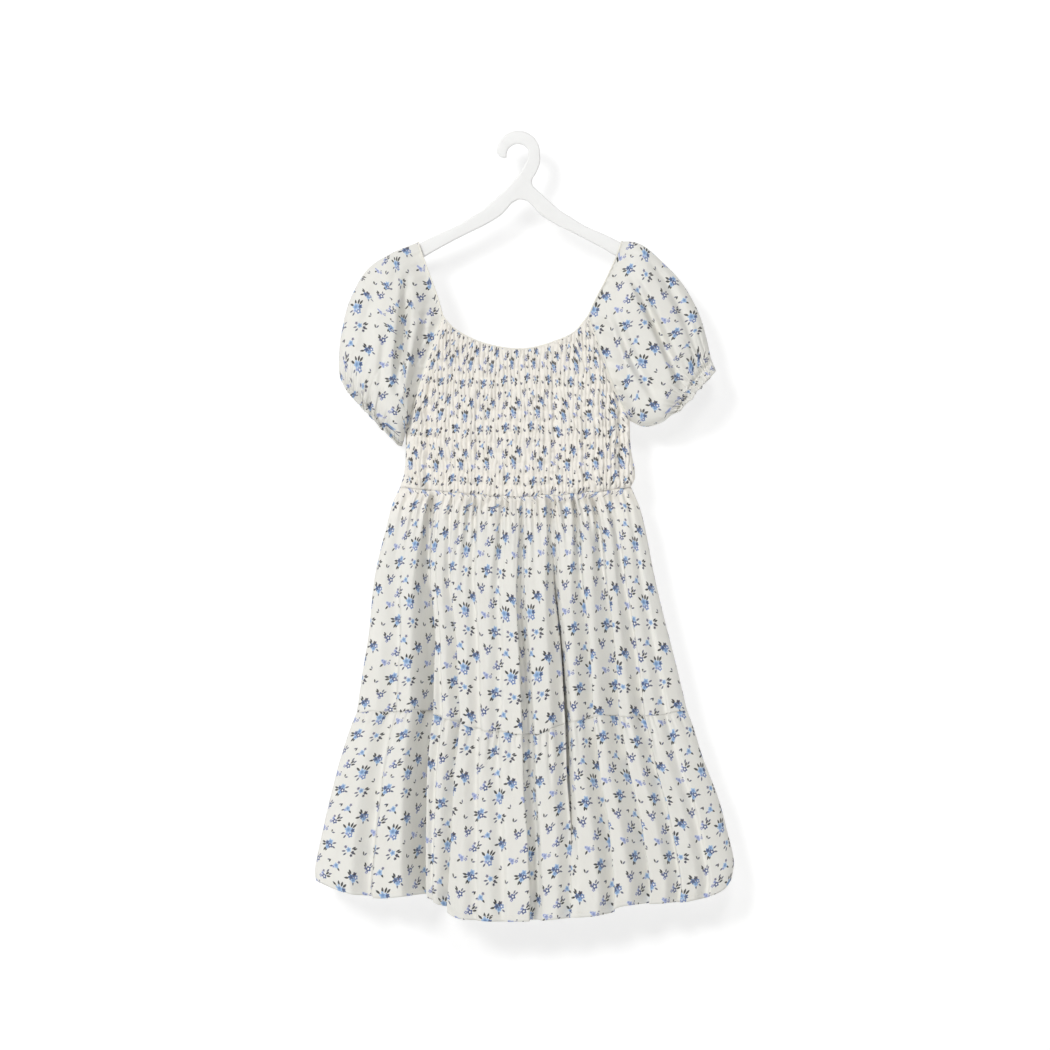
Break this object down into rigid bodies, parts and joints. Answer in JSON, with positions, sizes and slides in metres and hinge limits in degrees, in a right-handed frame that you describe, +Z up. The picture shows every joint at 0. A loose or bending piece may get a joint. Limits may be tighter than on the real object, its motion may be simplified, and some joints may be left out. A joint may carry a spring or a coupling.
{
  "type": "dress on a hanger",
  "caption": "Ivory cotton child's dress with small blue flowers, a shirred bodice, puff sleeves and a tiered skirt, on a white plastic hanger.",
  "frame": {"origin": "top of the inside of the hanger's hook, where a rail carries it", "axes": "+Z up, -Y out of the front of the dress, +X to the right seen from the front"},
  "size_m": [0.416, 0.0664, 0.7876],
  "materials": {
    "printed_cotton": "matt ivory cotton with small blue flowers",
    "shirred_cotton": "matt ivory cotton, shirred on cream elastic thread",
    "hanger_plastic": "satin white moulded plastic"
  },
  "bodies": {
    "root": {"bodice_front": "shirred_cotton", "bodice_back": "shirred_cotton", "sleeve_left": "printed_cotton", "sleeve_right": "printed_cotton", "skirt_front": "printed_cotton", "skirt_back": "printed_cotton", "flounce_front": "printed_cotton", "flounce_back": "printed_cotton", "hanger": "hanger_plastic"}
  },
  "joints": []
}
